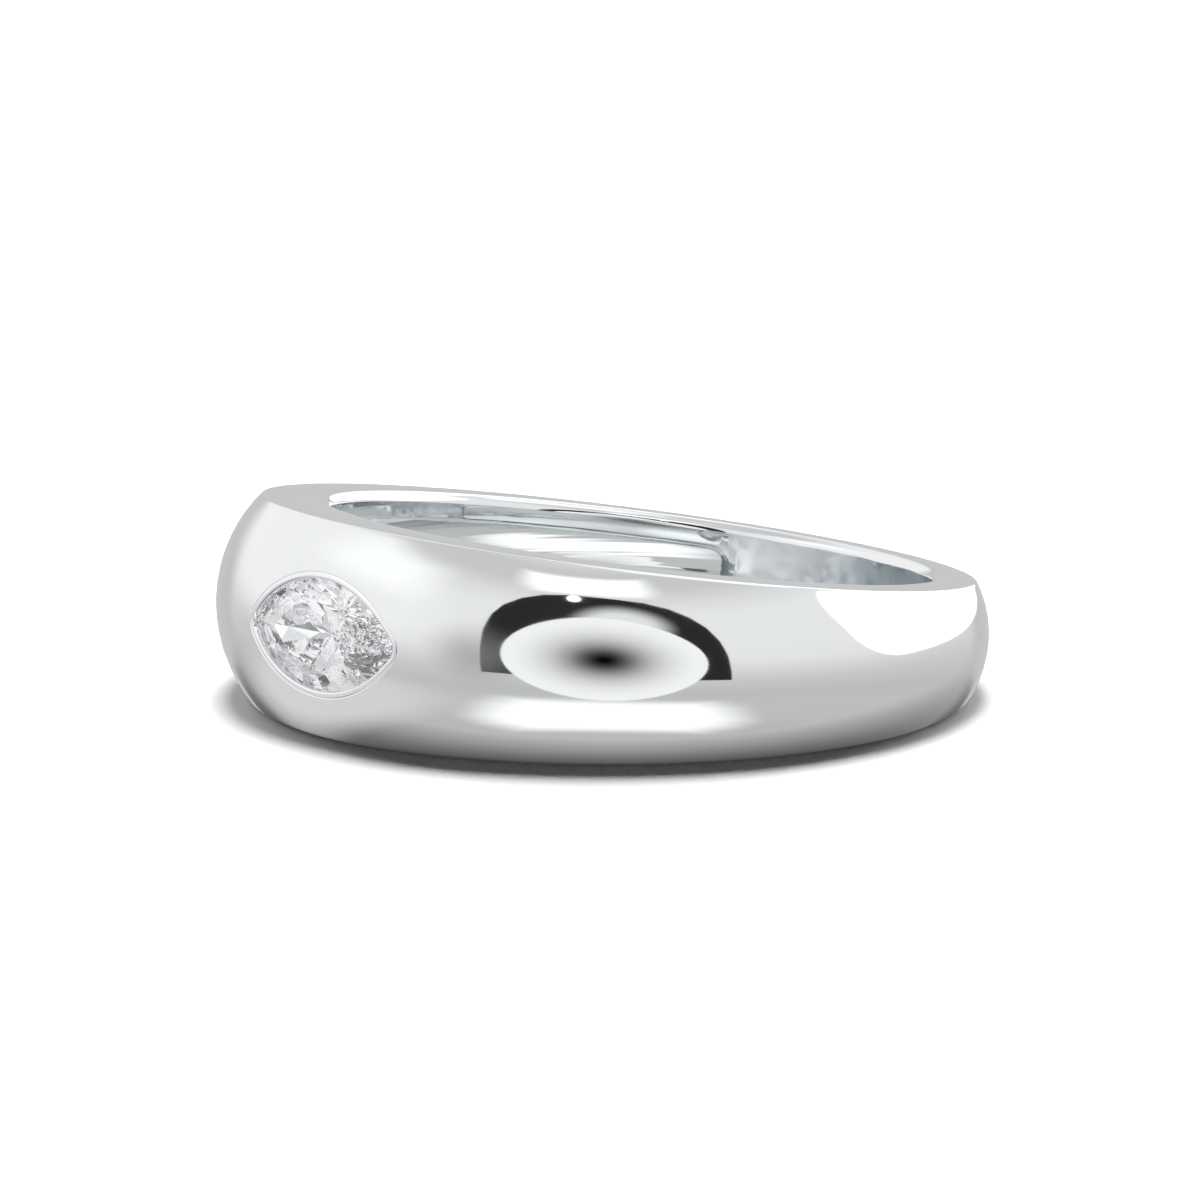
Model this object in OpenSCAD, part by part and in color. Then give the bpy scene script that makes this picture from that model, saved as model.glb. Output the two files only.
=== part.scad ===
// Domed ring with one marquise stone set flush in its head, lying on its lower side face.
// Millimetres. The finger hole's axis meets the resting face at the origin, +Z is up, and the stone looks along -Y.
// The band is drawn in its own frame first: X points from the finger hole's axis to the stone,
// Y runs along the stone, and Z is the finger hole's axis. The module resting() then lays it down.

/* [Finger hole] */
// Diameter of the finger hole
bore_d = 16.5; // [14:0.25:21]
// Radius of the rounded edge between the finger hole and each side face
bore_edge_r = 0.27; // [0.15:0.01:0.35]

/* [Band] */
// Metal from the finger hole to the crest, at the head
head_t = 3.2; // [2.9:0.05:3.6]
// Metal from the finger hole to the crest, at the back
back_t = 1.4; // [1.3:0.05:1.8]
// Width of each flat side face, at the head
head_face_w = 2.02; // [1.7:0.02:2.2]
// Width of each flat side face, at the back
back_face_w = 1.08; // [0.9:0.02:1.1]
// Width of the band between the side faces' outer edges, at the head
head_w = 5.93; // [5.4:0.01:6.8]
// Width of the band between the side faces' outer edges, at the back
back_w = 2.69; // [2.4:0.01:3.2]
// Width of the small break between the dome and each side face
edge_break = 0.05; // [0.03:0.01:0.1]

/* [Hollow under the dome] */
// Metal left between the hollow and the crest
wall_t = 1.15; // [1.05:0.05:1.2]
// Width of the rim left between the hollow and each side face
hollow_rim = 0.6; // [0.5:0.05:0.8]
// Angle from the stone at which the hollow stops, on both sides
hollow_end = 152; // [140:1:156]
// Radius of the hollow's two rounded corners at each end
hollow_corner_r = 0.45; // [0.2:0.05:0.5]

/* [Stone] */
// Length of the stone, tip to tip
stone_l = 6.1; // [5.5:0.1:6.5]
// Width of the stone
stone_w = 3.25; // [2.9:0.05:3.4]
// Width of the stone's table
table_w = 1.85; // [1.7:0.05:2]
// Height of the crown, from the girdle to the table
crown_h = 0.45; // [0.35:0.01:0.5]
// Height of the girdle
girdle_h = 0.08; // [0.05:0.01:0.1]
// Depth of the pavilion, from the girdle to the culet
pavilion_h = 1.4; // [1.3:0.05:1.45]

/* [Setting] */
// Depth of the girdle's top below the crest
stone_sink = 0.62; // [0.6:0.01:0.7]
// Clearance between the stone and the metal
seat_gap = 0.03; // [0.02:0.01:0.05]
// How far the metal reaches in over the girdle
lip_over = 0.09; // [0.06:0.01:0.12]
// Metal left standing above the girdle before the lip is rounded away
lip_t = 0.15; // [0.13:0.01:0.17]
// Radius of the opening's two rounded tips
tip_r = 0.2; // [0.1:0.05:0.25]
// Width of the bearing that the pavilion sits on
bearing_w = 0.32; // [0.2:0.02:0.4]

/* [Hidden] */

bore_r = bore_d / 2;
crest_circle_r = bore_r + (head_t + back_t) / 2;
crest_shift = (head_t - back_t) / 2;
edge_circle_r = bore_r + (head_face_w + back_face_w) / 2;
edge_shift = (head_face_w - back_face_w) / 2;
crest_x = bore_r + head_t;

// Each side face leans by this much for each millimetre towards the head
lean = (head_w - back_w) / 4 / edge_circle_r;
tilt = atan(lean);
mid_half_w = head_w / 2 - lean * (bore_r + head_face_w);
rest_h = mid_half_w * cos(tilt);

// Stations round the band, steps from the crest to an edge, and steps round a small corner
stations = 72;
arc_steps = 5;
corner_steps = 6;
// How far a cut runs past the face that it opens
past = 0.1;
// The rounded edge of the finger hole is cut as facets, each turned this much from the next
facet_turn = 30;

// Half the width of the band in the plane of a side face, at a place along X
function half_w(x) = mid_half_w + lean * x;

// Distance from the finger hole's axis to a shifted circle, at an angle from the head
function reach(r, shift, a) = shift * cos(a) + sqrt(pow(r, 2) - pow(shift * sin(a), 2));
function crest_r(a) = reach(crest_circle_r, crest_shift, a);
function edge_r(a) = reach(edge_circle_r, edge_shift, a);
function edge_half_w(a) = half_w(edge_r(a) * cos(a));

// Radius of the arc through an edge, the crest and the other edge
function dome_r(a) =
    let (rise = crest_r(a) - edge_r(a), w = edge_half_w(a))
    (pow(w, 2) + pow(rise, 2)) / (2 * rise);

// A section of the band at an angle from the head, as distance from the axis and height.
// It runs up the dome, in over the upper side face and its rounded edge, and back the same way below.
function upper_inner(a) =
    let (
        w = half_w(bore_r * cos(a)),
        half_turn = facet_turn / 2,
        corner_r = bore_edge_r / cos(half_turn),
        mid = [bore_r + bore_edge_r, w - bore_edge_r],
        first = mid + corner_r * [-sin(facet_turn), cos(facet_turn)],
        second = mid + corner_r * [-cos(facet_turn), sin(facet_turn)],
        rise = w + past - first.y,
        inset = second.x - bore_r + 2 * past
    )
    [
        first + rise * [1 / tan(half_turn), 1],
        first,
        second,
        second - inset * [1, 1 / tan(half_turn)]
    ];
function upper_edge(a) =
    let (e = edge_r(a) - edge_break, w = half_w(e * cos(a)))
    [e - past, w + past];
function section(a) =
    let (
        r = dome_r(a),
        last = asin(edge_half_w(a) / r) - asin(edge_break / r),
        dome = [for (k = [-arc_steps : arc_steps])
            let (b = last * k / arc_steps)
            [crest_r(a) - r * (1 - cos(b)), r * sin(b)]],
        inner = upper_inner(a),
        upper = concat([upper_edge(a)], inner)
    )
    concat(dome, upper, [for (k = [len(upper) - 1 : -1 : 0]) [upper[k].x, -upper[k].y]]);

// Faces of a skin over rows of points, each row a closed loop of n points
function skin(first_row, last_row, n, rows) = [
    for (i = [first_row : last_row], k = [0 : n - 1])
        let (p = i * n + k, q = i * n + (k + 1) % n, r = ((i + 1) % rows) * n)
        each [[p, q, r + k], [q, r + (k + 1) % n, r + k]]
];
function flip(faces) = [for (f = faces) [f[2], f[1], f[0]]];

// Turned and laid down on the lower side face, with the finger hole's axis through the origin
module resting() {
    translate([0, rest_h * lean, rest_h]) rotate([-tilt, 0, 0]) rotate([0, 0, -90]) children();
}

// An outline in X and Z, run across the whole band along Y
module across() {
    rotate([90, 0, 0]) linear_extrude(height = 4 * crest_x, center = true) children();
}

module dome() {
    n = len(section(0));
    points = [for (i = [0 : stations - 1])
        let (a = 360 * i / stations)
        for (p = section(a)) [p.x * cos(a), p.x * sin(a), p.y]];
    polyhedron(points, skin(0, stations - 1, n, stations), convexity = 6);
}

// All that lies between the two side faces
module between_faces() {
    x = crest_x + past;
    across() polygon([[-x, -half_w(-x)], [x, -half_w(x)], [x, half_w(x)], [-x, half_w(-x)]]);
}

module finger_hole() {
    cylinder(h = 2 * head_w, d = bore_d, center = true, $fn = 144);
}

// Everything under an even wall below the dome
module under_wall() {
    rows = 2 * arc_steps + 1;
    skin_points = [for (k = [-arc_steps : arc_steps], i = [0 : stations - 1])
        let (
            a = 360 * i / stations,
            top = crest_r(a) - wall_t,
            z = k / arc_steps * (half_w(top * cos(a)) - hollow_rim + past),
            r = dome_r(a) - wall_t,
            x = top - (r - sqrt(pow(r, 2) - pow(z, 2)))
        )
        [x * cos(a), x * sin(a), z]];
    low = rows * stations;
    caps = [for (i = [0 : stations - 1])
        let (next = (i + 1) % stations, up = (rows - 1) * stations)
        each [[low, i, next], [low + 1, up + next, up + i]]];
    cap_z = mid_half_w - hollow_rim + past;
    polyhedron(
        concat(skin_points, [[0, 0, -cap_z], [0, 0, cap_z]]),
        concat(flip(skin(0, rows - 2, stations, rows)), caps),
        convexity = 4
    );
}

// The hollow's outline from the side: straight rims, a straight end and rounded corners
module hollow_outline() {
    end_x = bore_r * cos(hollow_end);
    mid_x = end_x + hollow_corner_r;
    mid_z = half_w(mid_x) - hollow_rim - hollow_corner_r / cos(tilt);
    corner = [for (k = [0 : corner_steps])
        let (a = 180 - (90 - tilt) * k / corner_steps)
        [mid_x, mid_z] + hollow_corner_r * [cos(a), sin(a)]];
    far = [crest_x, half_w(crest_x) - hollow_rim];
    upper = concat(corner, [far]);
    polygon(concat(upper, [for (k = [len(upper) - 1 : -1 : 0]) [upper[k].x, -upper[k].y]]));
}

module hollow() {
    intersection() {
        under_wall();
        across() hollow_outline();
    }
}

// Radius of the marquise's two arcs, and how far their centres lie past its middle
arc_r = (pow(stone_l, 2) + pow(stone_w, 2)) / (4 * stone_w);
arc_shift = arc_r - stone_w / 2;
girdle_top = crest_x - stone_sink;
girdle_low = girdle_top - girdle_h;

// The marquise outline moved in by an inset, with rounded tips
outline_steps = 16;
tip_steps = 5;
function marquise(inset, tip) =
    let (
        r = arc_r - inset,
        tip_x = sqrt(pow(r - tip, 2) - pow(arc_shift, 2)),
        turn = atan2(arc_shift, tip_x)
    )
    [for (side = [0, 1])
        let (s = side == 0 ? 1 : -1)
        each concat(
            [for (k = [0 : tip_steps - 1])
                let (a = turn * (2 * k / tip_steps - 1))
                s * [tip_x + tip * cos(a), tip * sin(a)]],
            [for (k = [0 : outline_steps - 1])
                let (a = turn + (180 - 2 * turn) * k / outline_steps)
                s * [r * cos(a), r * sin(a) - arc_shift]]
        )];

// The cut for the stone: a hole into the hollow, a bearing, the girdle's pocket, and the lip's opening
module seat() {
    // The hole starts inside the hollow, the bearing has the pavilion's slope, and the cut flares at 45 degrees above
    hole_low = crest_x - 2 * wall_t;
    bearing_low = girdle_low - seat_gap - bearing_w * pavilion_h / (stone_w / 2);
    lip_low = girdle_top + lip_over + seat_gap;
    flare = 2 * stone_sink;
    levels = [
        [hole_low, bearing_w, tip_r],
        [bearing_low, bearing_w, tip_r],
        [girdle_low - seat_gap, -seat_gap, seat_gap],
        [girdle_top, -seat_gap, seat_gap],
        [lip_low, lip_over, tip_r],
        [girdle_top + lip_t, lip_over, tip_r],
        [girdle_top + lip_t + flare, lip_over - flare, tip_r]
    ];
    n = len(marquise(0, tip_r));
    points = [for (row = levels, p = marquise(row[1], row[2])) [row[0], p.x, p.y]];
    top = (len(levels) - 1) * n;
    polyhedron(
        points,
        concat(
            flip(skin(0, len(levels) - 2, n, len(levels))),
            [[for (k = [0 : n - 1]) k], [for (k = [n - 1 : -1 : 0]) top + k]]
        ),
        convexity = 6
    );
}

module band() {
    color("gainsboro") resting() difference() {
        intersection() {
            dome();
            between_faces();
        }
        finger_hole();
        hollow();
        seat();
    }
}

// The stone's sixteen girdle points, two to each of its eight main facets
turn = atan2(arc_shift, stone_l / 2);
function girdle_point(k) =
    let (j = k % 8, s = k < 8 ? 1 : -1, a = turn + (180 - 2 * turn) * j / 8)
    j == 0 ? [s * stone_l / 2, 0] : s * [arc_r * cos(a), arc_r * sin(a) - arc_shift];
// The way each main facet faces, and how far out its plane lies at the girdle
function main_normal(m) =
    let (k = m % 8, j = k % 4, s = k < 4 ? 1 : -1, a = turn + (180 - 2 * turn) * j / 4)
    j == 0 ? [s, 0] : s * [cos(a), sin(a)];
function main_out(m) = main_normal(m) * girdle_point(2 * (m % 8));
// Where the planes of two neighbouring main facets cross, each moved in to a given distance
function crossing(m, out_a, out_b) =
    let (a = main_normal(m), b = main_normal(m + 1), d = a.x * b.y - a.y * b.x)
    [out_a * b.y - out_b * a.y, out_b * a.x - out_a * b.x] / d;

module marquise_stone() {
    table_inset = (stone_w - table_w) / 2;
    table_tip = sqrt(pow(arc_r - table_inset, 2) - pow(arc_shift, 2));
    table_out = [for (m = [0 : 8]) m % 4 == 0 ? table_tip : main_out(m) - table_inset];
    // Height of the star facets' lower points in the crown, and depth of the lower girdle facets in the pavilion
    star_share = 0.55;
    lower_share = 0.78;
    table = [for (m = [0 : 7])
        m % 4 == 0
            ? table_out[m] * main_normal(m)
            : girdle_point(2 * m) - table_inset * main_normal(m)];
    star = [for (m = [0 : 7])
        let (
            a = main_out(m) + (table_out[m] - main_out(m)) * star_share,
            b = main_out(m + 1) + (table_out[m + 1] - main_out(m + 1)) * star_share
        )
        crossing(m, a, b)];
    lower = [for (m = [0 : 7])
        crossing(m, main_out(m) * (1 - lower_share), main_out(m + 1) * (1 - lower_share))];
    points = concat(
        [for (p = table) [girdle_top + crown_h, p.x, p.y]],
        [for (p = star) [girdle_top + crown_h * star_share, p.x, p.y]],
        [for (k = [0 : 15]) let (p = girdle_point(k)) [girdle_top, p.x, p.y]],
        [for (k = [0 : 15]) let (p = girdle_point(k)) [girdle_low, p.x, p.y]],
        [for (p = lower) [girdle_low - pavilion_h * lower_share, p.x, p.y]],
        [[girdle_low - pavilion_h, 0, 0]]
    );
    // First point of each row: table, star, girdle top, girdle bottom, lower, culet
    st = 8;
    gt = 16;
    gb = 32;
    lo = 48;
    culet = 56;
    faces = concat(
        [[for (m = [0 : 7]) m]],
        [for (m = [0 : 7])
            let (n = (m + 1) % 8, before = (m + 7) % 8, g = 2 * m, h = 2 * m + 1, i = (2 * m + 2) % 16)
            each [
                [m, st + m, n],
                [m, st + before, gt + g, st + m],
                [st + m, gt + g, gt + h],
                [st + m, gt + h, gt + i],
                [gt + g, gb + g, gb + h, gt + h],
                [gt + h, gb + h, gb + i, gt + i],
                [lo + m, gb + h, gb + g],
                [lo + m, gb + i, gb + h],
                [lo + before, lo + m, gb + g],
                [lo + before, culet, lo + m]
            ]]
    );
    color("white") resting() polyhedron(points, [for (f = faces) [for (k = [len(f) - 1 : -1 : 0]) f[k]]]);
}

band();
marquise_stone();
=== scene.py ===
import bpy
from math import acos, asin, atan, cos, hypot, pi, radians, sin, sqrt, tan
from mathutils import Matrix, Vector


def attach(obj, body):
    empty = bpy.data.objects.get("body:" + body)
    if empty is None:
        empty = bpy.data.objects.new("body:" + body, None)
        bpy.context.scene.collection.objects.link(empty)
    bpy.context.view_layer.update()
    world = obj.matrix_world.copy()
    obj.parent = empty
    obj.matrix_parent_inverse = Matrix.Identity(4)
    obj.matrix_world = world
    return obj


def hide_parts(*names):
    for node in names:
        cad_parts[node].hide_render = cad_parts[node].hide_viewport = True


# Domed white gold ring with a marquise diamond set flush in its head, lying on its lower side face.
# The ring is modelled in its own frame, X from the finger hole's axis to the stone and Z along that axis,
# and laid down at the end. Sizes are in millimetres and turned to metres by mm.
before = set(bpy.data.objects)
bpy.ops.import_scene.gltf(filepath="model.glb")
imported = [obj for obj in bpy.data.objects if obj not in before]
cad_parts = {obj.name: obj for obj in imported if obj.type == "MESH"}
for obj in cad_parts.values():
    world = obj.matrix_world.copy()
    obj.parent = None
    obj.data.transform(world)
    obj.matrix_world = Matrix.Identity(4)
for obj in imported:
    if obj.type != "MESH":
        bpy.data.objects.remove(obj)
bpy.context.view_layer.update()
mm = 0.001
print("frame loaded:", sorted(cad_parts))


def onlyThis(piece):
    # Object mode, with this piece alone selected and active
    if bpy.context.mode != "OBJECT":
        bpy.ops.object.mode_set(mode="OBJECT")
    bpy.ops.object.select_all(action="DESELECT")
    if piece:
        piece.select_set(True)
        bpy.context.view_layer.objects.active = piece


def hexColour(text):
    # sRGB hex to linear
    parts = [int(text[i:i + 2], 16) / 255 for i in (0, 2, 4)]
    return tuple(c / 12.92 if c <= 0.04045 else ((c + 0.055) / 1.055) ** 2.4 for c in parts) + (1,)


def addNode(tree, kind, links=None, **settings):
    # A node with its settings, and links as {input: output socket or value}
    node = tree.nodes.new(kind)
    for name, value in settings.items():
        setattr(node, name, value)
    for socket, source in (links or {}).items():
        if isinstance(source, bpy.types.NodeSocket):
            tree.links.new(source, node.inputs[socket])
        else:
            node.inputs[socket].default_value = source
    return node


# Sizes of the metal, as in the drawing of the part
ring = {
    "boreRadius": 8.25,
    "crest": (11.45, 9.65),        # crest's distance from the axis, at the head and at the back
    "edge": (10.27, 9.33),         # the same for the side face's outer edge
    "halfWidth": 2.965,            # half of the width at that edge, at the head
    "halfWidthBack": 1.345,        # and at the back
    "boreRound": 0.27,             # radius between the finger hole and the side faces
    "edgeBreak": 0.07,             # soft break where the dome meets the side face
    "stations": 320,               # vertices round the ring
    "domeRows": 34,                # rows from the crest to an edge
    "breakRows": 5,                # rows of the soft break
    "roundRows": 8,                # rows of the finger hole's rounded edge
    "crease": 28,                  # degrees from which an edge stays crisp
}
ring["lean"] = (ring["halfWidth"] - ring["halfWidthBack"]) / (ring["edge"][0] + ring["edge"][1])
ring["middle"] = ring["halfWidth"] - ring["lean"] * ring["edge"][0]
ring["rest"] = ring["middle"] * cos(atan(ring["lean"]))   # height of its centre as it lies


def halfSection(end, inset=0.0):
    # Points (distance from the axis, height) from the crest over the dome to its upper edge.
    # end is 0 at the head and 1 at the back, and inset moves the arc inwards.
    crest, edge = ring["crest"][end], ring["edge"][end]
    width = (ring["halfWidth"], ring["halfWidthBack"])[end]
    rise = crest - edge
    radius = (width ** 2 + rise ** 2) / (2 * rise)
    last = asin(width / radius) - (0 if inset else asin(ring["edgeBreak"] / radius))
    turns = [last * k / ring["domeRows"] for k in range(ring["domeRows"] + 1)]
    return [(crest - radius + (radius - inset) * cos(t), (radius - inset) * sin(t)) for t in turns]


def upperSection(end):
    # The whole upper half: dome, soft break, side face and the rounded edge of the finger hole
    points = halfSection(end)
    slope = ring["lean"] if end == 0 else -ring["lean"]
    edge = ring["edge"][end]
    corner = (edge, ring["middle"] + slope * edge)
    after = (edge - ring["edgeBreak"], ring["middle"] + slope * (edge - ring["edgeBreak"]))
    before = points[-1]
    for k in range(1, ring["breakRows"] + 1):
        t = k / ring["breakRows"]
        points.append(tuple(
            (1 - t) ** 2 * before[i] + 2 * t * (1 - t) * corner[i] + t * t * after[i] for i in (0, 1)))
    bend = ring["boreRound"]
    centreR = ring["boreRadius"] + bend
    centreZ = ring["middle"] + slope * centreR - bend * hypot(1, slope)
    start = pi / 2 + atan(slope)
    for k in range(ring["roundRows"] + 1):
        turn = start + (pi - start) * k / ring["roundRows"]
        points.append((centreR + bend * cos(turn), centreZ + bend * sin(turn)))
    return points


def nextRow(now, after):
    # Extrudes the selected loop from one circle to the next. A circle is (radius, shift, slope, height).
    bpy.ops.mesh.extrude_edges_move()
    setRow(now, after)


def setRow(now, after):
    # Moves the selected loop from one circle to the next
    radius, shift, slope, height = after
    grow = radius / now[0]
    bpy.ops.transform.resize(value=(1, 1, 0), center_override=(0, 0, 0))
    bpy.ops.transform.resize(value=(grow, grow, 1), center_override=(now[1] * mm, 0, 0))
    bpy.ops.transform.translate(value=((shift - now[1]) * mm, 0, 0))
    bpy.ops.transform.resize(value=(hypot(1, slope), 1, 1), center_override=(0, 0, 0))
    bpy.ops.transform.rotate(value=atan(slope), orient_axis="Y", center_override=(0, 0, 0))
    bpy.ops.transform.translate(value=(0, 0, height * mm))


def circleThrough(head, back):
    # The circle of one row, from its point at the head and its point at the back
    slope = (head[1] - back[1]) / (head[0] + back[0])
    return ((head[0] + back[0]) / 2, (head[0] - back[0]) / 2, slope, head[1] - slope * head[0])


def loftRing(name, heads, backs, closed):
    # A body lofted row by row round the finger hole's axis
    onlyThis(None)
    first = circleThrough(heads[0], backs[0])
    bpy.ops.mesh.primitive_circle_add(vertices=ring["stations"], radius=first[0] * mm,
                                      location=(first[1] * mm, 0, 0))
    piece = bpy.context.object
    piece.name = name
    bpy.ops.object.transform_apply(location=True, rotation=True, scale=True)
    bpy.ops.object.mode_set(mode="EDIT")
    bpy.ops.mesh.select_all(action="SELECT")
    setRow(first, first)
    now = first
    for head, back in zip(heads[1:], backs[1:]):
        after = circleThrough(head, back)
        nextRow(now, after)
        now = after
    if closed:
        nextRow(now, first)
    bpy.ops.mesh.select_all(action="SELECT")
    bpy.ops.mesh.remove_doubles(threshold=1e-6 * mm)
    bpy.ops.mesh.normals_make_consistent(inside=False)
    bpy.ops.object.mode_set(mode="OBJECT")
    return piece


def wholeSection(end):
    # The upper half and its mirror image below
    upper = upperSection(end)
    return upper + [(r, -z) for r, z in reversed(upper)][:-1]


def marquiseSides():
    # Radius of the two sides, and how far their centres lie from the middle
    radius = (stone["length"] ** 2 + stone["width"] ** 2) / (4 * stone["width"])
    return radius, radius - stone["width"] / 2


def marquise(inset, tip):
    # The marquise outline moved in by an inset, with rounded tips, as (along, across) points
    radius, shift = marquiseSides()
    arc = radius - inset
    tipAt = sqrt((arc - tip) ** 2 - shift ** 2)
    turn = atan(shift / tipAt)
    spread = [turn * (2 * k / stone["tipSteps"] - 1) for k in range(stone["tipSteps"])]
    half = [(tipAt + tip * cos(a), tip * sin(a)) for a in spread]
    for k in range(stone["outlineSteps"]):
        a = turn + (pi - 2 * turn) * k / stone["outlineSteps"]
        half.append((arc * cos(a), arc * sin(a) - shift))
    return half + [(-y, -z) for y, z in half]


def rowsToSolid(name, rows, paired=False):
    # A closed tool lofted through rows that have the same number of points, in millimetres.
    # Its two ends are single faces, or strips between paired points where a row goes there and back.
    n = len(rows[0])
    points = [Vector(p) * mm for row in rows for p in row]
    faces = []
    for first in (0, len(points) - n):
        if paired:
            faces += [[first + k, first + k + 1, first + n - 2 - k, first + n - 1 - k] for k in range(n // 2 - 1)]
        else:
            faces.append([first + k for k in range(n)])
    for i in range(len(rows) - 1):
        for k in range(n):
            j = (k + 1) % n
            faces.append([i * n + k, i * n + j, (i + 1) * n + j, (i + 1) * n + k])
    mesh = bpy.data.meshes.new(name)
    mesh.from_pydata(points, [], faces)
    tool = bpy.data.objects.new(name, mesh)
    bpy.context.scene.collection.objects.link(tool)
    onlyThis(tool)
    bpy.ops.object.mode_set(mode="EDIT")
    bpy.ops.mesh.select_all(action="SELECT")
    bpy.ops.mesh.normals_make_consistent(inside=False)
    bpy.ops.object.mode_set(mode="OBJECT")
    return tool


def cut(piece, tool, operation="DIFFERENCE"):
    # Boolean with a tool, applied, and the tool deleted. The cut faces keep the tool's material.
    onlyThis(piece)
    step = piece.modifiers.new("cut", "BOOLEAN")
    step.operation = operation
    step.solver = "EXACT"
    step.material_mode = "TRANSFER"
    step.object = tool
    bpy.ops.object.modifier_apply(modifier=step.name)
    onlyThis(tool)
    bpy.ops.object.delete()
    onlyThis(piece)


# Four finishes of the one metal, filled in below; the worn back's also has a lighter colour, as painted light
goldPolished = bpy.data.materials.new("rhodium_white_gold_polished")
goldHollow = bpy.data.materials.new("rhodium_white_gold_hollow")
goldSeat = bpy.data.materials.new("rhodium_white_gold_bright_cut")
goldSatinPaintedBright = bpy.data.materials.new("rhodium_white_gold_worn_back_painted_bright")

band = loftRing("band_polished", wholeSection(0), wholeSection(1), closed=True)
band.data.materials.append(goldPolished)
# The dome before any cut, on which the seat's lip is measured
dome = band.copy()
dome.data = band.data.copy()
bpy.context.scene.collection.objects.link(dome)
print("band lofted:", len(band.data.polygons), "faces")

# The hollow under the dome, that leaves a rim along each side face and a solid back
hollow = {
    "wall": 1.15,                  # metal left below the crest
    "rim": 0.8,                    # metal left between its side walls and the side faces
    "endAngle": 150.5,             # where its flat end wall meets the finger hole, from the stone
    "endSlant": 0.5,               # how far the end wall leans back for each millimetre of depth
    "corner": 0.3,                 # radius of its corners
    "edgeRound": 0.33,             # round of its edge on the finger hole's wall
    "edgeStart": 10,               # degrees at which that round leaves the wall
    "endOpening": 0.45,            # how far the end goes back for each millimetre of that round
    "overlap": 0.05,               # start of the cut inside the finger hole
    "core": 0.5,                   # inner radius of the cut, well inside the finger hole
    "roundSteps": 8,               # rows of that round
    "cornerSteps": 6,              # steps round a corner
    "stations": 130,               # points along half of each side wall
}


def hollowRow(radius, out):
    # The hollow's outline at one depth, opened by out beyond its walls: upper side from end to end, then the lower
    endX = ring["boreRadius"] * cos(radians(hollow["endAngle"])) - hollow["endOpening"] * out
    endX -= hollow["endSlant"] * max(0, radius - ring["boreRadius"])
    corner = hollow["corner"] + out
    rim = hollow["rim"] - out
    tilt = atan(ring["lean"])
    midX = endX + corner
    midZ = ring["middle"] + ring["lean"] * midX - rim - corner / cos(tilt)
    side = []
    for k in range(hollow["cornerSteps"] + 1):
        turn = pi - (pi / 2 - tilt) * k / hollow["cornerSteps"]
        side.append((midX + corner * cos(turn), midZ + corner * sin(turn)))
    last = acos(side[-1][0] / radius)
    for k in range(1, hollow["stations"] + 1):
        x = radius * cos(last * (1 - k / hollow["stations"]))
        side.append((x, ring["middle"] + ring["lean"] * x - rim))
    upper = [(x, -sqrt(max(radius ** 2 - x ** 2, 0)), z) for x, z in side]
    upper += [(x, -y, z) for x, y, z in reversed(upper[:-1])]
    return upper + [(x, y, -z) for x, y, z in reversed(upper)]


def hollowTool():
    # What the hollow's four walls enclose, kept where it is also under the dome's inner face
    start = radians(hollow["edgeStart"])
    reach, over = ring["boreRadius"], hollow["overlap"]
    bend = hollow["edgeRound"]
    rows = [hollowRow(reach - over, bend * (1 - sin(start)) + over / tan(start))]
    for k in range(hollow["roundSteps"] + 1):
        turn = start + (pi / 2 - start) * k / hollow["roundSteps"]
        rows.append(hollowRow(reach + bend * (1 - cos(turn)), bend * (1 - sin(turn))))
    rows.append(hollowRow(ring["crest"][0], 0))
    prism = rowsToSolid("hollow_walls", rows, paired=True)
    sections = []
    for end in (0, 1):
        upper = halfSection(end, hollow["wall"])
        upper.append((hollow["core"], upper[-1][1]))
        sections.append(upper + [(r, -z) for r, z in reversed(upper)][:-1])
    inside = loftRing("hollow_inside", sections[0], sections[1], closed=True)
    prism.data.materials.append(goldHollow)
    inside.data.materials.append(goldHollow)
    cut(inside, prism, "INTERSECT")
    return inside


def selectBorder(piece, slotA, slotB):
    # Selects the edges between faces of two material slots, in edit mode
    onlyThis(piece)
    bpy.ops.object.mode_set(mode="EDIT")
    bpy.ops.mesh.select_mode(type="EDGE")
    bpy.ops.mesh.select_all(action="DESELECT")
    bpy.ops.object.mode_set(mode="OBJECT")
    sides = {}
    for face in piece.data.polygons:
        for key in face.edge_keys:
            sides.setdefault(key, set()).add(face.material_index)
    for edge in piece.data.edges:
        if sides.get(edge.key, set()) >= {slotA, slotB}:
            edge.select = True
    bpy.ops.object.mode_set(mode="EDIT")


cut(band, hollowTool())
print("hollow cut:", len(band.data.polygons), "faces")

# The stone's seat: hole, bearing, pocket for the girdle, and a lip rounded over along the dome
stone = {
    "length": 6.1,                 # as set in the metal, tip to tip
    "width": 3.25,
    "girdleTop": 10.83,            # distance of the girdle's top from the finger hole's axis
    "girdle": 0.08,                # thickness of the girdle
    "pavilion": 1.4,               # depth below the girdle
    "outlineSteps": 56,            # points along each side
    "tipSteps": 8,                 # points round each tip
}
seat = {
    "bearing": 0.32,               # width that the pavilion sits on
    "gap": 0.03,                   # round the girdle
    "lipOver": 0.11,               # reach of the lip over the girdle
    "lipUnder": 0.05,              # its lower side above the girdle
    "lipTaper": 0.03,              # height in which the pocket closes to the lip
    # The burnished lip from the stone outwards, and the fine line round it: distance out, depth below the dome
    "lip": ((0, 0.13), (0.008, 0.09), (0.024, 0.055), (0.05, 0.028), (0.08, 0.012), (0.11, 0.008), (0.14, 0.01),
            (0.165, 0.015), (0.182, 0.021), (0.21, 0), (0.31, -0.075)),
    "tip": 0.34,                   # radius of the opening's tips
    "rayStart": 20,                # distance from the axis at which rays onto the dome start
    "above": 1,                    # how far the tool stands over the dome
}


def domeHeight(along, across):
    # The dome's distance from the axis, met by a ray from outside the ring
    start = Vector((seat["rayStart"], along, across)) * mm
    return dome.ray_cast(start, Vector((-1, 0, 0)))[1].x / mm


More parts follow.
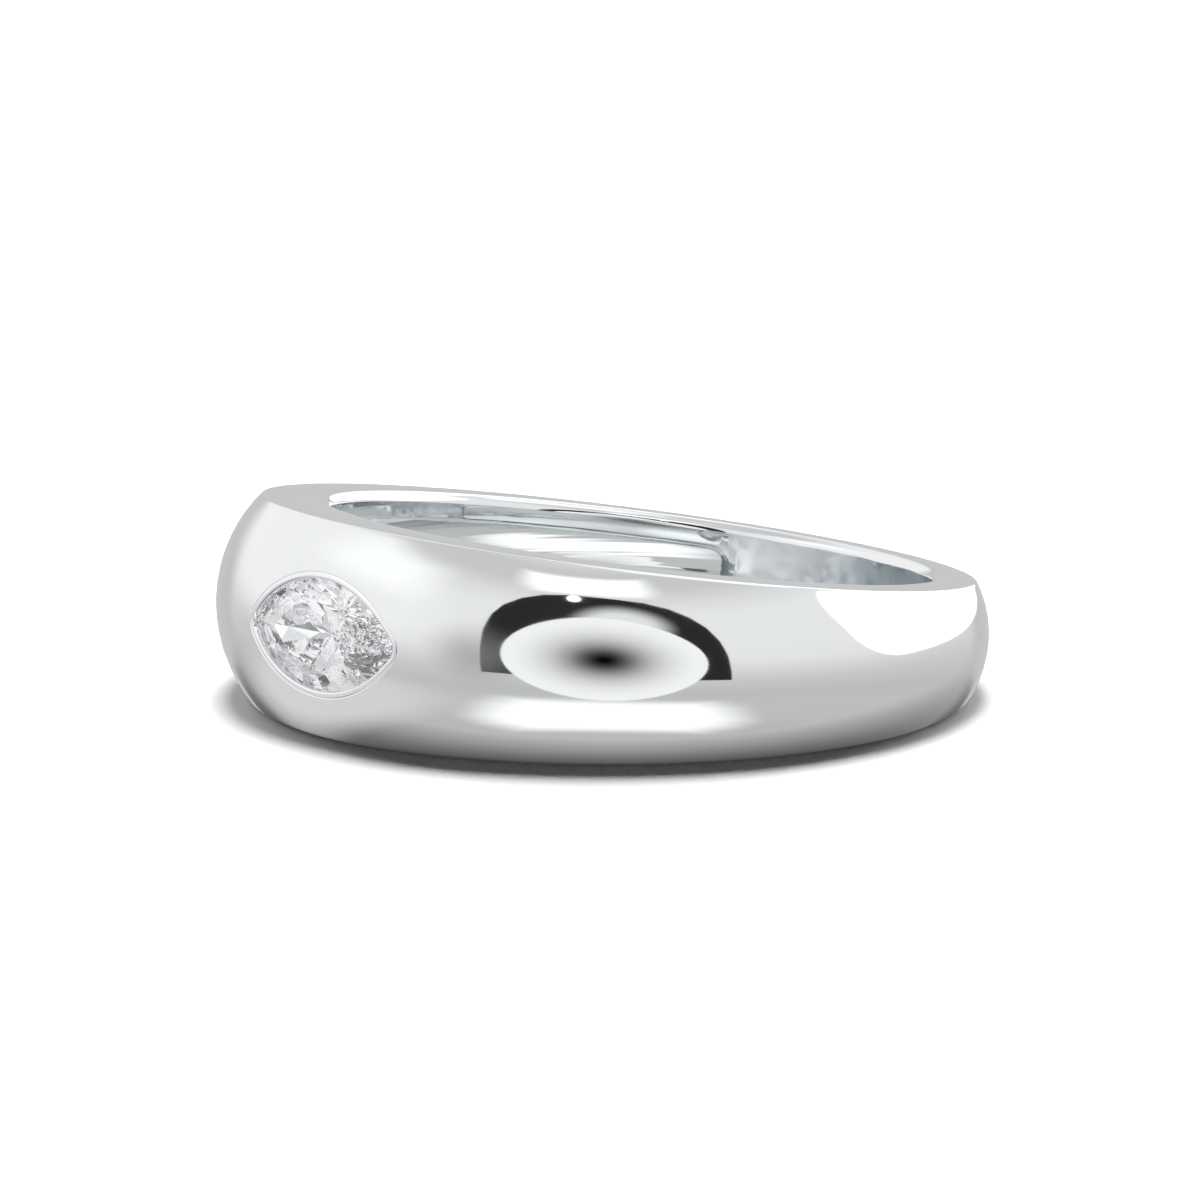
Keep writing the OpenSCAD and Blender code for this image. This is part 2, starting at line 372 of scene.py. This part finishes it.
def seatTool():
    # Levels from the hollow outwards (distance from the axis, inset, tip radius), then the lip over the dome
    girdleLow = stone["girdleTop"] - stone["girdle"] - seat["gap"]
    bearingLow = girdleLow - seat["bearing"] * stone["pavilion"] / (stone["width"] / 2)
    lipLow = stone["girdleTop"] + seat["lipUnder"]
    levels = [
        (ring["crest"][0] - 2 * hollow["wall"], seat["bearing"], seat["tip"]),
        (bearingLow, seat["bearing"], seat["tip"]),
        (girdleLow, -seat["gap"], seat["gap"]),
        (lipLow - seat["lipTaper"], -seat["gap"], seat["gap"]),
        (lipLow, seat["lipOver"], seat["tip"]),
    ]
    rows = [[(x, y, z) for y, z in marquise(inset, tip)] for x, inset, tip in levels]
    for out, deep in seat["lip"]:
        rows.append([(domeHeight(y, z) - deep, y, z)
                     for y, z in marquise(seat["lipOver"] - out, seat["tip"] + out)])
    rows.append([(x + seat["above"], y, z) for x, y, z in rows[-1]])
    tool = rowsToSolid("seat_tool", rows)
    tool.data.materials.append(goldSeat)
    return tool


cut(band, seatTool())
print("seat cut:", len(band.data.polygons), "faces")

# The worn satin back of the finger hole, where no hollow is; its metal is lighter than the rest, as painted light
band.data.materials.append(goldSatinPaintedBright)
slots = [slot.material for slot in band.material_slots]
polishedSlot, seatSlot, satinSlot = (slots.index(gold) for gold in (goldPolished, goldSeat, goldSatinPaintedBright))
backStarts = ring["boreRadius"] * cos(radians(hollow["endAngle"])) - hollow["overlap"]
nearBore = 0.01                    # millimetres
for face in band.data.polygons:
    x, y = face.center.x / mm, face.center.y / mm
    inBore = hypot(x, y) < ring["boreRadius"] + nearBore
    if inBore and x < backStarts and face.material_index == polishedSlot:
        face.material_index = satinSlot

# Smooth faces, with a crisp border round the seat
onlyThis(band)
bpy.ops.object.shade_smooth_by_angle(angle=radians(ring["crease"]))
selectBorder(band, polishedSlot, seatSlot)
bpy.ops.mesh.mark_sharp()
bpy.ops.object.mode_set(mode="OBJECT")
smooth = band.modifiers.new("even normals", "WEIGHTED_NORMAL")
smooth.mode = "FACE_AREA"
smooth.weight = 50
smooth.keep_sharp = True
bpy.ops.object.modifier_apply(modifier=smooth.name)
onlyThis(dome)
bpy.ops.object.delete()


def layDown(piece):
    # Turned with the stone towards -Y and laid on its lower side face
    onlyThis(piece)
    piece.rotation_euler = (0, -atan(ring["lean"]), -pi / 2)
    piece.location = (0, ring["rest"] * ring["lean"] * mm, ring["rest"] * mm)
    bpy.ops.object.transform_apply(location=True, rotation=True, scale=True)


layDown(band)
print("band laid down:", [round(v / mm, 3) for v in band.dimensions], "mm")
band.visible_transmission = False  # light passes the stone as in an open seat
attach(band, "root")
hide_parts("band")


# White gold under rhodium: bright cool mirror, with the faint unevenness that a polishing wheel leaves
def whiteGold(material, colour, roughness, unevenness, bump=0.0, deep=0.0, streaks=0.0):
    material.use_nodes = True
    tree = material.node_tree
    tree.nodes.clear()
    place = addNode(tree, "ShaderNodeTexCoord")
    polish = addNode(tree, "ShaderNodeTexNoise", {
        "Vector": place.outputs["Object"], "Scale": 900.0, "Detail": 4.0})
    rough = addNode(tree, "ShaderNodeMapRange", {
        "Value": polish.outputs["Fac"], "From Min": 0.3, "From Max": 0.7,
        "To Min": roughness, "To Max": roughness + unevenness})
    links = {"Base Color": hexColour(colour), "Metallic": 1.0, "Roughness": rough.outputs["Result"]}
    if deep:
        # Under the head the wheel doesn't reach, and the metal stays satin as it was sanded
        axes = addNode(tree, "ShaderNodeSeparateXYZ", {"Vector": place.outputs["Object"]})
        under = addNode(tree, "ShaderNodeMapRange", {
            "Value": axes.outputs["Y"], "From Min": -0.001, "From Max": -0.005, "To Min": 0.0, "To Max": deep})
        total = addNode(tree, "ShaderNodeMath", {
            0: rough.outputs["Result"], 1: under.outputs["Result"]}, operation="ADD")
        links["Roughness"] = total.outputs["Value"]
    if bump:
        # Shallow waves of a worn surface, some 1.5 mm across
        grain = addNode(tree, "ShaderNodeTexNoise", {
            "Vector": place.outputs["Object"], "Scale": 650.0, "Detail": 2.0})
        relief = addNode(tree, "ShaderNodeBump", {
            "Height": grain.outputs["Fac"], "Strength": bump, "Distance": 0.0002})
        links["Normal"] = relief.outputs["Normal"]
    if streaks:
        # Long low ridges round the ring, as the hollow was scraped and polished
        along = addNode(tree, "ShaderNodeMapping", {
            "Vector": place.outputs["Object"], "Scale": (0.025, 0.025, 1)})
        ridge = addNode(tree, "ShaderNodeTexNoise", {
            "Vector": along.outputs["Vector"], "Scale": 4500.0, "Detail": 1.0})
        relief = addNode(tree, "ShaderNodeBump", {
            "Height": ridge.outputs["Fac"], "Strength": streaks, "Distance": 0.00003})
        links["Normal"] = relief.outputs["Normal"]
    shader = addNode(tree, "ShaderNodeBsdfPrincipled", links)
    addNode(tree, "ShaderNodeOutputMaterial", {"Surface": shader.outputs["BSDF"]})


whiteGold(goldPolished, "E7E9EA", roughness=0.03, unevenness=0.03)
whiteGold(goldHollow, "E7EBEC", roughness=0.04, unevenness=0.04, deep=0.22, streaks=0.6)
whiteGold(goldSeat, "ECEDEE", roughness=0.02, unevenness=0.02)
# Worn back: real satin roughness and waves, and a lighter colour than the polished metal, as painted light that
# brightens the finger hole
whiteGold(goldSatinPaintedBright, "F2F4F7", roughness=0.1, unevenness=0.12, bump=0.4)
print("metal finished:", len(band.material_slots), "finishes")


# Diamond: colourless, highest lustre of any gem. Its fire and its dark and bright glints are painted light: colour
# tints of single facets.
def diamond(material):
    material.use_nodes = True
    tree = material.node_tree
    tree.nodes.clear()
    painted_fire_and_glints = addNode(tree, "ShaderNodeAttribute", attribute_name="painted_fire_and_glints")
    shader = addNode(tree, "ShaderNodeBsdfPrincipled", {
        "Base Color": painted_fire_and_glints.outputs["Color"], "Roughness": 0.0, "IOR": 2.417, "Transmission Weight": 1.0})
    addNode(tree, "ShaderNodeOutputMaterial", {"Surface": shader.outputs["BSDF"]})


gemCut = {
    "mains": 8,                    # main facets round the crown and the pavilion
    "table": 0.57,                 # share of the outline
    "crown": 0.45,                 # height of the crown
    "stars": (0.77, 0.52),         # lower points of the stars: share of the outline, share of the crown's height
    # The pavilion's rows: share of the outline, share of its depth
    "tiers": ((0.72, 0.31), (0.5, 0.545), (0.3, 0.75), (0.13, 0.905)),
    "clear": "F0F0F4",             # every facet of the crown
    # The pavilion's painted fire and glints: white, greys, and faint blue, sand, green and violet
    "painted_fire_and_glints": ("D0D1D7", "B0C2E0", "5E5F66", "D6CEC4", "F4F4F8", "4E4F56", "C2D0C9", "F4F4F8", "C4BBD6",
             "AEAFB5", "8E8F95"),
    "fireStep": 7,                 # tints passed over from one facet to the next
}


def outlinePoint(share, scale):
    # A point of the marquise outline, from one tip round to it again
    radius, shift = marquiseSides()
    turn = atan(shift / (stone["length"] / 2))
    side = 1 if share % 1 < 0.5 else -1
    a = turn + (pi - 2 * turn) * (share % 0.5) / 0.5
    return side * radius * cos(a) * scale, side * (radius * sin(a) - shift) * scale


def cutStone():
    # Facets between rows of corners, and the painted fire and glint tint of each as a corner colour
    n = gemCut["mains"]
    top, deep = stone["girdleTop"], stone["pavilion"]
    low = top - stone["girdle"]
    points, faces, starts = [], [], []

    def row(count, offset, scale, x):
        starts.append(len(points))
        for k in range(count):
            y, z = outlinePoint((k + offset) / count, scale)
            points.append(Vector((x, y, z)) * mm)

    # Rows of corners from the table down, every second one turned by half a facet
    row(n, 0, gemCut["table"], top + gemCut["crown"])
    row(n, 0.5, gemCut["stars"][0], top + gemCut["crown"] * gemCut["stars"][1])
    row(2 * n, 0, 1, top)
    row(2 * n, 0, 1, low)
    for i, (scale, share) in enumerate(gemCut["tiers"]):
        row(n, 0.5 if i % 2 == 0 else 0, scale, low - deep * share)
    points.append(Vector((low - deep, 0, 0)) * mm)
    table, star, upper, lower, tierA, tierB, tierC, tierD = starts
    culet = len(points) - 1
    faces.append([table + i for i in range(n)])
    for i in range(n):
        j, h = (i + 1) % n, (i - 1) % n
        even, odd, nextEven = 2 * i, 2 * i + 1, (2 * i + 2) % (2 * n)
        faces += [
            [table + i, table + j, star + i],                             # star
            [table + i, star + h, upper + even, star + i],                # bezel
            [star + i, upper + even, upper + odd],                        # upper halves
            [star + i, upper + odd, upper + nextEven],
            [upper + even, upper + odd, lower + odd, lower + even],       # girdle
            [upper + odd, upper + nextEven, lower + nextEven, lower + odd],
            [lower + even, lower + odd, tierA + i],                       # lower halves
            [lower + odd, lower + nextEven, tierA + i],
            [lower + even, tierA + h, tierB + i, tierA + i],              # pavilion mains
            [tierA + i, tierB + i, tierC + i, tierB + j],
            [tierB + i, tierC + h, tierD + i, tierC + i],
            [tierC + i, tierD + i, culet, tierD + j],
        ]
    mesh = bpy.data.meshes.new("marquise_brilliant")
    mesh.from_pydata(points, [], faces)
    piece = bpy.data.objects.new("marquise_brilliant", mesh)
    bpy.context.scene.collection.objects.link(piece)
    onlyThis(piece)
    bpy.ops.object.mode_set(mode="EDIT")
    bpy.ops.mesh.select_all(action="SELECT")
    bpy.ops.mesh.normals_make_consistent(inside=False)
    bpy.ops.object.mode_set(mode="OBJECT")
    painted_fire_and_glints = mesh.color_attributes.new("painted_fire_and_glints", "FLOAT_COLOR", "CORNER")
    for face in mesh.polygons:
        crown = face.center.x > (stone["girdleTop"] - stone["girdle"] / 2) * mm
        # Painted light: each pavilion facet gets the next painted fire and glint tint in turn, while the crown
        # stays clear
        tint = gemCut["painted_fire_and_glints"][face.index * gemCut["fireStep"] % len(gemCut["painted_fire_and_glints"])]
        colour = hexColour(gemCut["clear"] if crown else tint)
        for corner in face.loop_indices:
            painted_fire_and_glints.data[corner].color = colour
    return piece


gem = bpy.data.materials.new("diamond_brilliant")
diamond(gem)
brilliant = cutStone()
brilliant.data.materials.append(gem)
layDown(brilliant)
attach(brilliant, "root")
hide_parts("marquise_stone")
print("stone cut:", len(brilliant.data.polygons), "facets")

# Camera as in the photograph, a long lens a little above the table
photo = {
    "azimuth": 48.6,               # degrees from the stone's side
    "elevation": 11.5,             # degrees above the table
    "lens": 1000.0,
    "sensor": 36,                  # width of the film that the lens length is for
    "viewWidth": 1200 / 36.67,     # millimetres across the frame at the ring
    "pixel": 1 / 36.67,            # millimetres in a pixel of 1200
    "centre": (27.3, 14.1),        # where the ring's centre lies from the frame's centre, in those pixels
}
ringCentre = Vector((0, ring["rest"] * ring["lean"], ring["rest"]))
az, el = radians(photo["azimuth"]), radians(photo["elevation"])
toCamera = Vector((sin(az) * cos(el), -cos(az) * cos(el), sin(el)))
camRight = Vector((cos(az), sin(az), 0))
camUp = toCamera.cross(camRight)
target = ringCentre - camRight * photo["centre"][0] * photo["pixel"] + camUp * photo["centre"][1] * photo["pixel"]
lens = bpy.data.cameras.new("camera")
lens.lens = photo["lens"]
lens.sensor_width = photo["sensor"]
lens.clip_start = 0.01
lens.clip_end = 10
cameraDistance = photo["viewWidth"] * photo["lens"] / photo["sensor"]
camera = bpy.data.objects.new("camera", lens)
camera.location = (target + toCamera * cameraDistance) * mm
camera.rotation_euler = toCamera.to_track_quat("Z", "Y").to_euler()
bpy.context.scene.collection.objects.link(camera)
bpy.context.scene.camera = camera
bpy.context.scene.view_settings.view_transform = "Standard"
paths = bpy.context.scene.cycles
paths.max_bounces = 24             # light goes to and fro in the stone and under the dome
paths.glossy_bounces = 20
paths.transmission_bounces = 20
print("camera set:", round(cameraDistance), "mm from the ring")


# The table and the tent of white cloth round it. Angles are as seen from the ring:
# turn from the camera towards its right, and rise above the table.
def direction(turn, rise):
    turn, rise = radians(turn), radians(rise)
    flat = Vector((toCamera.x, toCamera.y, 0)).normalized() * cos(turn) + camRight * sin(turn)
    return flat * cos(rise) + Vector((0, 0, sin(rise)))


level = 0.765                      # brightness of the whole tent
tentRadius = 400                   # millimetres from the ring to the cloths, and less for those in front
evenly = ((0.0, 1.0), (1.0, 1.0))


def fadeFrom(share):
    # A cloth's cover: full from its middle to this share of the way, then none at its edge
    return ((0.0, 1.0), (1.0, 0.0), (share, 1.0))


def emitter(name, strength, glow=evenly, cover=evenly):
    # A glowing or dark cloth. glow and cover run from its middle to its edge: brightness, and how much it hides.
    # Their stop at the edge comes second, before the ones between. A matt surface gets no light from it.
    material = bpy.data.materials.new(name)
    material.use_nodes = True
    tree = material.node_tree
    tree.nodes.clear()
    uv = addNode(tree, "ShaderNodeUVMap")
    split = addNode(tree, "ShaderNodeSeparateXYZ", {"Vector": uv.outputs["UV"]})
    ramps = []
    for stops in (glow, cover):
        ramp = addNode(tree, "ShaderNodeValToRGB", {"Fac": split.outputs["X"]})
        ramp.color_ramp.interpolation = "EASE" if len(stops) < 4 else "B_SPLINE"
        for stop, (at, value) in zip(ramp.color_ramp.elements, stops):
            stop.position = at
            stop.color = (value, value, value, 1)
        for at, value in stops[2:]:
            ramp.color_ramp.elements.new(at).color = (value, value, value, 1)
        ramps.append(ramp.outputs["Color"])
    rays = addNode(tree, "ShaderNodeLightPath")
    power = addNode(tree, "ShaderNodeMapRange", {
        "Value": rays.outputs["Diffuse Depth"], "To Min": strength * level, "To Max": 0.0})
    light = addNode(tree, "ShaderNodeEmission", {"Color": ramps[0], "Strength": power.outputs["Result"]})
    clear = addNode(tree, "ShaderNodeBsdfTransparent")
    mix = addNode(tree, "ShaderNodeMixShader", {
        0: ramps[1], 1: clear.outputs["BSDF"], 2: light.outputs["Emission"]})
    addNode(tree, "ShaderNodeOutputMaterial", {"Surface": mix.outputs["Shader"]})
    return material


def card(name, outline, centre, nearer, material):
    # A cloth or panel facing the ring, from its outline in (turn, rise), in rings that shrink to its centre
    rings = 12
    distance = tentRadius - nearer
    n = len(outline)
    points, faces = [], []
    for k in range(rings):
        share = 1 - k / rings
        for turn, rise in outline:
            place = direction(centre[0] + (turn - centre[0]) * share, centre[1] + (rise - centre[1]) * share)
            points.append(place * distance * mm)
    points.append(direction(*centre) * distance * mm)
    for k in range(rings - 1):
        for i in range(n):
            j = (i + 1) % n
            faces.append((k * n + i, k * n + j, (k + 1) * n + j, (k + 1) * n + i))
    for i in range(n):
        faces.append(((rings - 1) * n + i, (rings - 1) * n + (i + 1) % n, rings * n))
    mesh = bpy.data.meshes.new(name)
    mesh.from_pydata(points, [], faces)
    uv = mesh.uv_layers.new(name="UVMap")
    for loop in mesh.loops:
        uv.data[loop.index].uv = (1 - loop.vertex_index // n / rings, 0.5)
    mesh.materials.append(material)
    thing = bpy.data.objects.new(name, mesh)
    bpy.context.scene.collection.objects.link(thing)
    thing.visible_camera = False
    thing.visible_shadow = False
    thing.visible_diffuse = False


def roundedBox(left, right, low, high, corner, steps=6):
    # A panel's outline in (turn, rise), with rounded corners
    outline = []
    for cx, cy, start in ((right - corner, high - corner, 0), (left + corner, high - corner, 90),
                          (left + corner, low + corner, 180), (right - corner, low + corner, 270)):
        for k in range(steps + 1):
            a = radians(start + 90 * k / steps)
            outline.append((cx + corner * cos(a), cy + corner * sin(a)))
    return finely(outline)


def finely(outline):
    # The outline with a point every 4 degrees, so that its straight edges don't sag
    fine = []
    for here, after in zip(outline, outline[1:] + outline[:1]):
        parts = max(1, round(hypot(after[0] - here[0], after[1] - here[1]) / 4))
        fine += [tuple(here[i] + (after[i] - here[i]) * k / parts for i in (0, 1)) for k in range(parts)]
    return fine


def oval(turn, rise, width, height, steps=72):
    turns = [2 * pi * k / steps for k in range(steps)]
    return [(turn + width * cos(a), rise + height * sin(a)) for a in turns]


# White reflector round the lens, black at its middle, in front of the tent's dark opening
lensDisc = ((0.0, 0.0), (1.0, 1.0), (0.08, 0.0), (0.2, 0.09), (0.33, 0.31), (0.5, 0.64), (0.68, 0.85), (0.85, 0.98))
card("lens_disc", oval(0.8, 5, 30.6, 31.3), (0.8, 5), 20, emitter("lens_disc", 1.45, lensDisc))
openingEdge = (
    (38, -9.5), (38, 10), (37.5, 20), (36, 30), (33, 38), (28, 44.5), (20, 49), (10, 51), (0, 52), (-10, 52),
    (-20, 50), (-27.5, 45.5), (-32.5, 39), (-35, 31), (-36, 20), (-36, 10), (-36, -9.5))
card("tent_opening", finely(openingEdge), (0, 10), 0, emitter("tent_opening", 0.035))
card("disc_haze", oval(8, 31, 20, 17), (8, 31), 8, emitter("disc_haze", 1.2, cover=fadeFrom(0.45)))
card("legs_shade", oval(-38, 2, 20, 26), (-38, 2), 6, emitter("legs_shade", 0.4, cover=((0.0, 0.62), (1.0, 0.0))))

# The lamp over the lens, the bright panels over and beside it, and one that the table throws back
card("lamp", oval(-7.5, 49.5, 2.8, 2.4, 24), (-7.5, 49.5), 30, emitter("lamp", 3.0))
topEdge = ((-30, 51), (30, 51), (36, 56), (40, 68), (-45, 68), (-38, 56))
card("top_panel", finely(topEdge), (-1, 60), 10, emitter("top_panel", 1.9, cover=fadeFrom(0.5)))
card("left_glow", oval(-110, 24, 72, 34), (-110, 24), 4, emitter("left_glow", 1.38, cover=fadeFrom(0.6)))
card("left_low_glow", oval(-102, -30, 62, 20), (-102, -30), 5,
     emitter("left_low_glow", 1.02, cover=fadeFrom(0.45)))
card("left_panel", roundedBox(-130, -50, 25, 58, 13), (-88, 42), 10,
     emitter("left_panel", 1.6, cover=fadeFrom(0.2)))
card("right_panel", roundedBox(83, 178, -3, 43, 19), (130, 18), 10, emitter("right_panel", 2.0))
cornerEdge = ((20, 82), (60, 72), (80, 62), (100, 52), (150, 46), (178, 60), (178, 84))
card("corner_panel", finely(cornerEdge), (110, 66), 10, emitter("corner_panel", 1.6, cover=fadeFrom(0.8)))
tableEdge = ((-38, -24), (40, -24), (50, -30), (60, -42), (57, -49),
             (44, -55), (-42, -55), (-55, -49), (-58, -42), (-48, -30))
card("table_panel", finely(tableEdge), (1, -39), 10, emitter("table_panel", 1.7, cover=fadeFrom(0.55)))
card("back_wall", roundedBox(140, 220, -20, 12, 8), (180, -4), 0,
     emitter("back_wall", 0.8, cover=fadeFrom(0.72)))

# The cloth all round, from the shade under the ring, over the table's edge, to the top: (rise, brightness)
cloth = ((-90, 0.9), (-60, 0.8), (-50, 0.76), (-40, 0.8), (-30, 0.83), (-20, 0.8), (-10, 0.92), (-4, 1.05),
         (4, 1.22), (14, 1.26), (40, 1.27), (50, 1.12), (60, 0.92), (70, 0.9), (80, 1.05), (90, 1.1))
# The shade behind and below the ring, by the angle from two dark places: (angle, most brightness)
shades = (
    (direction(180, -65), ((0, 0.05), (24, 0.07), (28, 0.13), (32, 0.21), (35, 0.27), (39, 0.37), (43, 0.48),
                           (48, 0.6), (53, 0.75), (60, 0.9), (75, 1.4), (180, 1.4))),
    (direction(180, -38), ((0, 0.05), (17, 0.06), (22, 0.25), (27, 0.45), (34, 0.68), (42, 1.0), (55, 1.4),
                           (180, 1.4))),
)
world = bpy.data.worlds.new("tent_cloth")
bpy.context.scene.world = world
world.use_nodes = True
sky = world.node_tree
sky.nodes.clear()
where = addNode(sky, "ShaderNodeTexCoord")
height = addNode(sky, "ShaderNodeSeparateXYZ", {"Vector": where.outputs["Generated"]})
rise = addNode(sky, "ShaderNodeMath", {0: height.outputs["Z"]}, operation="ARCSINE")
share = addNode(sky, "ShaderNodeMapRange", {
    "Value": rise.outputs["Value"], "From Min": -pi / 2, "From Max": pi / 2})
shade = addNode(sky, "ShaderNodeValToRGB", {"Fac": share.outputs["Result"]})
for stop, (at, value) in zip(shade.color_ramp.elements, (cloth[0], cloth[-1])):
    stop.position = (at + 90) / 180
    stop.color = (value, value, value, 1)
for at, value in cloth[1:-1]:
    shade.color_ramp.elements.new((at + 90) / 180).color = (value, value, value, 1)
tentLight = shade.outputs["Color"]
for place, stops in shades:
    apart = addNode(sky, "ShaderNodeVectorMath", {
        0: where.outputs["Generated"], 1: tuple(place)}, operation="DOT_PRODUCT")
    angle = addNode(sky, "ShaderNodeMath", {0: apart.outputs["Value"]}, operation="ARCCOSINE")
    part = addNode(sky, "ShaderNodeMath", {0: angle.outputs["Value"], 1: pi}, operation="DIVIDE")
    below = addNode(sky, "ShaderNodeValToRGB", {"Fac": part.outputs["Value"]})
    for stop, (at, value) in zip(below.color_ramp.elements, (stops[0], stops[-1])):
        stop.position = at / 180
        stop.color = (value, value, value, 1)
    for at, value in stops[1:-1]:
        below.color_ramp.elements.new(at / 180).color = (value, value, value, 1)
    # The darker of the two, whose colour sockets have only numbers: 6, 7 and output 2
    darker = addNode(sky, "ShaderNodeMix", {
        0: 1.0, 6: tentLight, 7: below.outputs["Color"]}, data_type="RGBA", blend_type="DARKEN")
    tentLight = darker.outputs[2]
# The table gets none of this light. It has lamps of its own.
rays = addNode(sky, "ShaderNodeLightPath")
power = addNode(sky, "ShaderNodeMapRange", {
    "Value": rays.outputs["Diffuse Depth"], "To Min": level, "To Max": 0.0})
air = addNode(sky, "ShaderNodeBackground", {"Color": tentLight, "Strength": power.outputs["Result"]})
addNode(sky, "ShaderNodeOutputWorld", {"Surface": air.outputs["Background"]})

# White table, with three soft lamps for it alone. The metal is lit by the tent.
onlyThis(None)
bpy.ops.mesh.primitive_plane_add(size=2.4)
floor = bpy.context.object
floor.name = "floor"
floor.visible_glossy = False
floor.visible_transmission = False
paper = bpy.data.materials.new("white_paper")
paper.use_nodes = True
matt = paper.node_tree.nodes["Principled BSDF"].inputs
matt["Base Color"].default_value = hexColour("F4F4F4")
matt["Roughness"].default_value = 0.7
floor.data.materials.append(paper)
# A lamp above, a little behind, and two low at the back's sides:
# name, direction (turn, rise), size in metres, watts
lampDistance = 0.7                 # metres
lamps = (
    ("overhead", (180, 72), 0.34, 6.8),
    ("side_lamp_left", (-148, 25), 0.4, 3.6),
    ("side_lamp_right", (148, 25), 0.4, 3.6),
)
for name, place, size, watts in lamps:
    light = bpy.data.lights.new(name, "AREA")
    light.shape = "DISK"
    light.size = size
    light.energy = watts
    lamp = bpy.data.objects.new(name, light)
    lamp.location = direction(*place) * lampDistance
    lamp.rotation_euler = direction(*place).to_track_quat("Z", "Y").to_euler()
    lamp.visible_glossy = False
    lamp.visible_transmission = False
    lamp.visible_camera = False
    bpy.context.scene.collection.objects.link(lamp)
print("studio ready")
